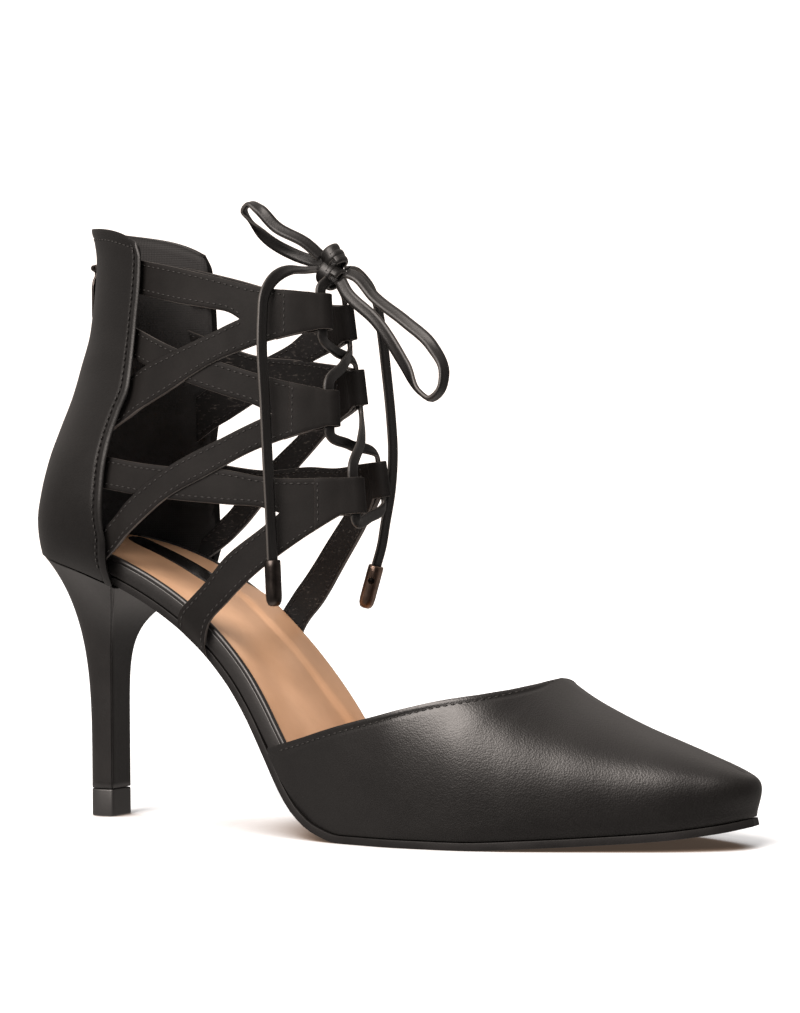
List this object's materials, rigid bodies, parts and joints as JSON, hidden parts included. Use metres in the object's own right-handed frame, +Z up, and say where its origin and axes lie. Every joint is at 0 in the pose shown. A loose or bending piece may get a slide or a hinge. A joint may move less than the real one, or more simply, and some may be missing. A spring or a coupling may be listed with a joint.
{
  "type": "lace-up high-heeled pump shoe",
  "caption": "Right laced-cage pump: pointed closed toe, open sides, forked ankle straps with loops tied by a leather lace, high zipped back and slim covered heel.",
  "frame": {"origin": "on the floor, below the middle of the box of the shoe without the lace's knot, bow and ends", "axes": "+X to the toe, +Y to the inner side of the foot, +Z up"},
  "size_m": [0.2373, 0.0738, 0.1932],
  "materials": {
    "sole": "matte black rubber sheet",
    "cover": "smooth black leather cover",
    "sock": "satin beige sock lining",
    "tip": "matte black top piece",
    "upper": "satin black leather with fine grain",
    "zip_tape": "black woven tape",
    "dark_metal": "dark plated metal",
    "bronze": "brushed bronze",
    "lace": "folded black leather cord"
  },
  "bodies": {
    "shoe": {"outsole": "sole", "rand": "cover", "sock": "sock", "heel": "cover", "heel_tip": "tip", "vamp": "upper", "counter": "upper", "zip_tape": "zip_tape", "zip_slider": "dark_metal", "straps_outer": "upper", "straps_inner": "upper", "lace_crossings": "lace", "lace_knot": "lace", "lace_loop_left": "lace", "lace_loop_right": "lace", "lace_end_left": "lace", "lace_end_right": "lace", "aglet_left": "dark_metal", "aglet_right": "bronze"},
    "zip_pull": {"zip_pull": "dark_metal"}
  },
  "joints": [
    {"name": "zip_pull_swing", "type": "hinge", "parent": "shoe", "child": "zip_pull", "pos_m": [-0.1048, 0, 0.177], "axis": [0, 1, 0], "range_deg": [0, 160]}
  ]
}
